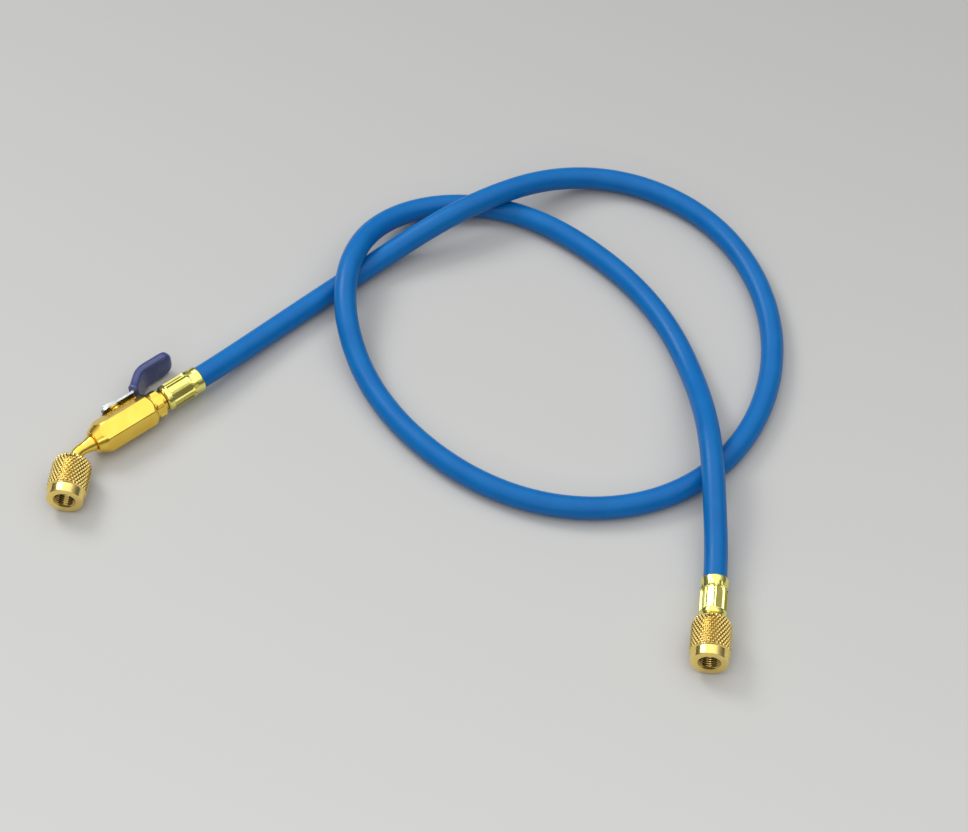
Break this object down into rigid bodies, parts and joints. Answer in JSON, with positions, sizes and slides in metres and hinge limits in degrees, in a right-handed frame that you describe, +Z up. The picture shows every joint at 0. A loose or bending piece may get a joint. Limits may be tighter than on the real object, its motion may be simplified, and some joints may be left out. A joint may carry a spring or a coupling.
{
  "type": "refrigerant charging hose",
  "caption": "Flexible charging hose with crimped ferrules, knurled swivel nuts and a lever ball valve on a bent tube at one end.",
  "frame": {"origin": "on the floor, under the middle of the box round the two end fittings", "axes": "+Z up, +X from the valve end towards the plain end, +Y away from the open faces of the two nuts"},
  "size_m": [0.3827, 0.3253, 0.0249],
  "materials": {
    "hose_rubber": "smooth blue rubber cover with a soft gloss",
    "brass": "machined and polished brass",
    "bright_brass": "bright pressed brass, pale and greenish",
    "steel": "bright plated steel",
    "vinyl": "dipped vinyl, dark blue and glossy",
    "ptfe": "white PTFE",
    "nitrile": "matte black rubber"
  },
  "bodies": {
    "root": {"hose": "hose_rubber", "valve_ferrule": "bright_brass", "end_ferrule": "bright_brass", "hose_adapter": "brass", "valve_body": "brass", "ball_seat_tube_side": "ptfe", "ball_seat_hose_side": "ptfe", "stem_packing": "ptfe", "elbow_tube": "brass", "valve_gasket": "nitrile", "end_stem": "brass", "end_gasket": "nitrile"},
    "lever": {"lever_plate": "steel", "lever_grip": "vinyl", "stem_washer": "steel", "stem_nut": "steel", "valve_stem": "brass", "ball": "steel"},
    "valve_nut": {"valve_swivel_nut": "brass"},
    "end_nut": {"end_swivel_nut": "brass"}
  },
  "joints": [
    {"name": "lever_turn", "type": "hinge", "parent": "root", "child": "lever", "pos_m": [-0.13471, 0.05197, 0.0103], "axis": [0.6219, -0.7735, 0.1219], "range_deg": [0, 90]},
    {"name": "valve_nut_spin", "type": "hinge", "parent": "root", "child": "valve_nut", "pos_m": [-0.16212, 0.01379, 0.0103], "axis": [-0.108, -0.9942, 0], "continuous": true},
    {"name": "end_nut_spin", "type": "hinge", "parent": "root", "child": "end_nut", "pos_m": [0.16209, -0.08372, 0.0103], "axis": [-0.1028, -0.9947, 0], "continuous": true}
  ]
}
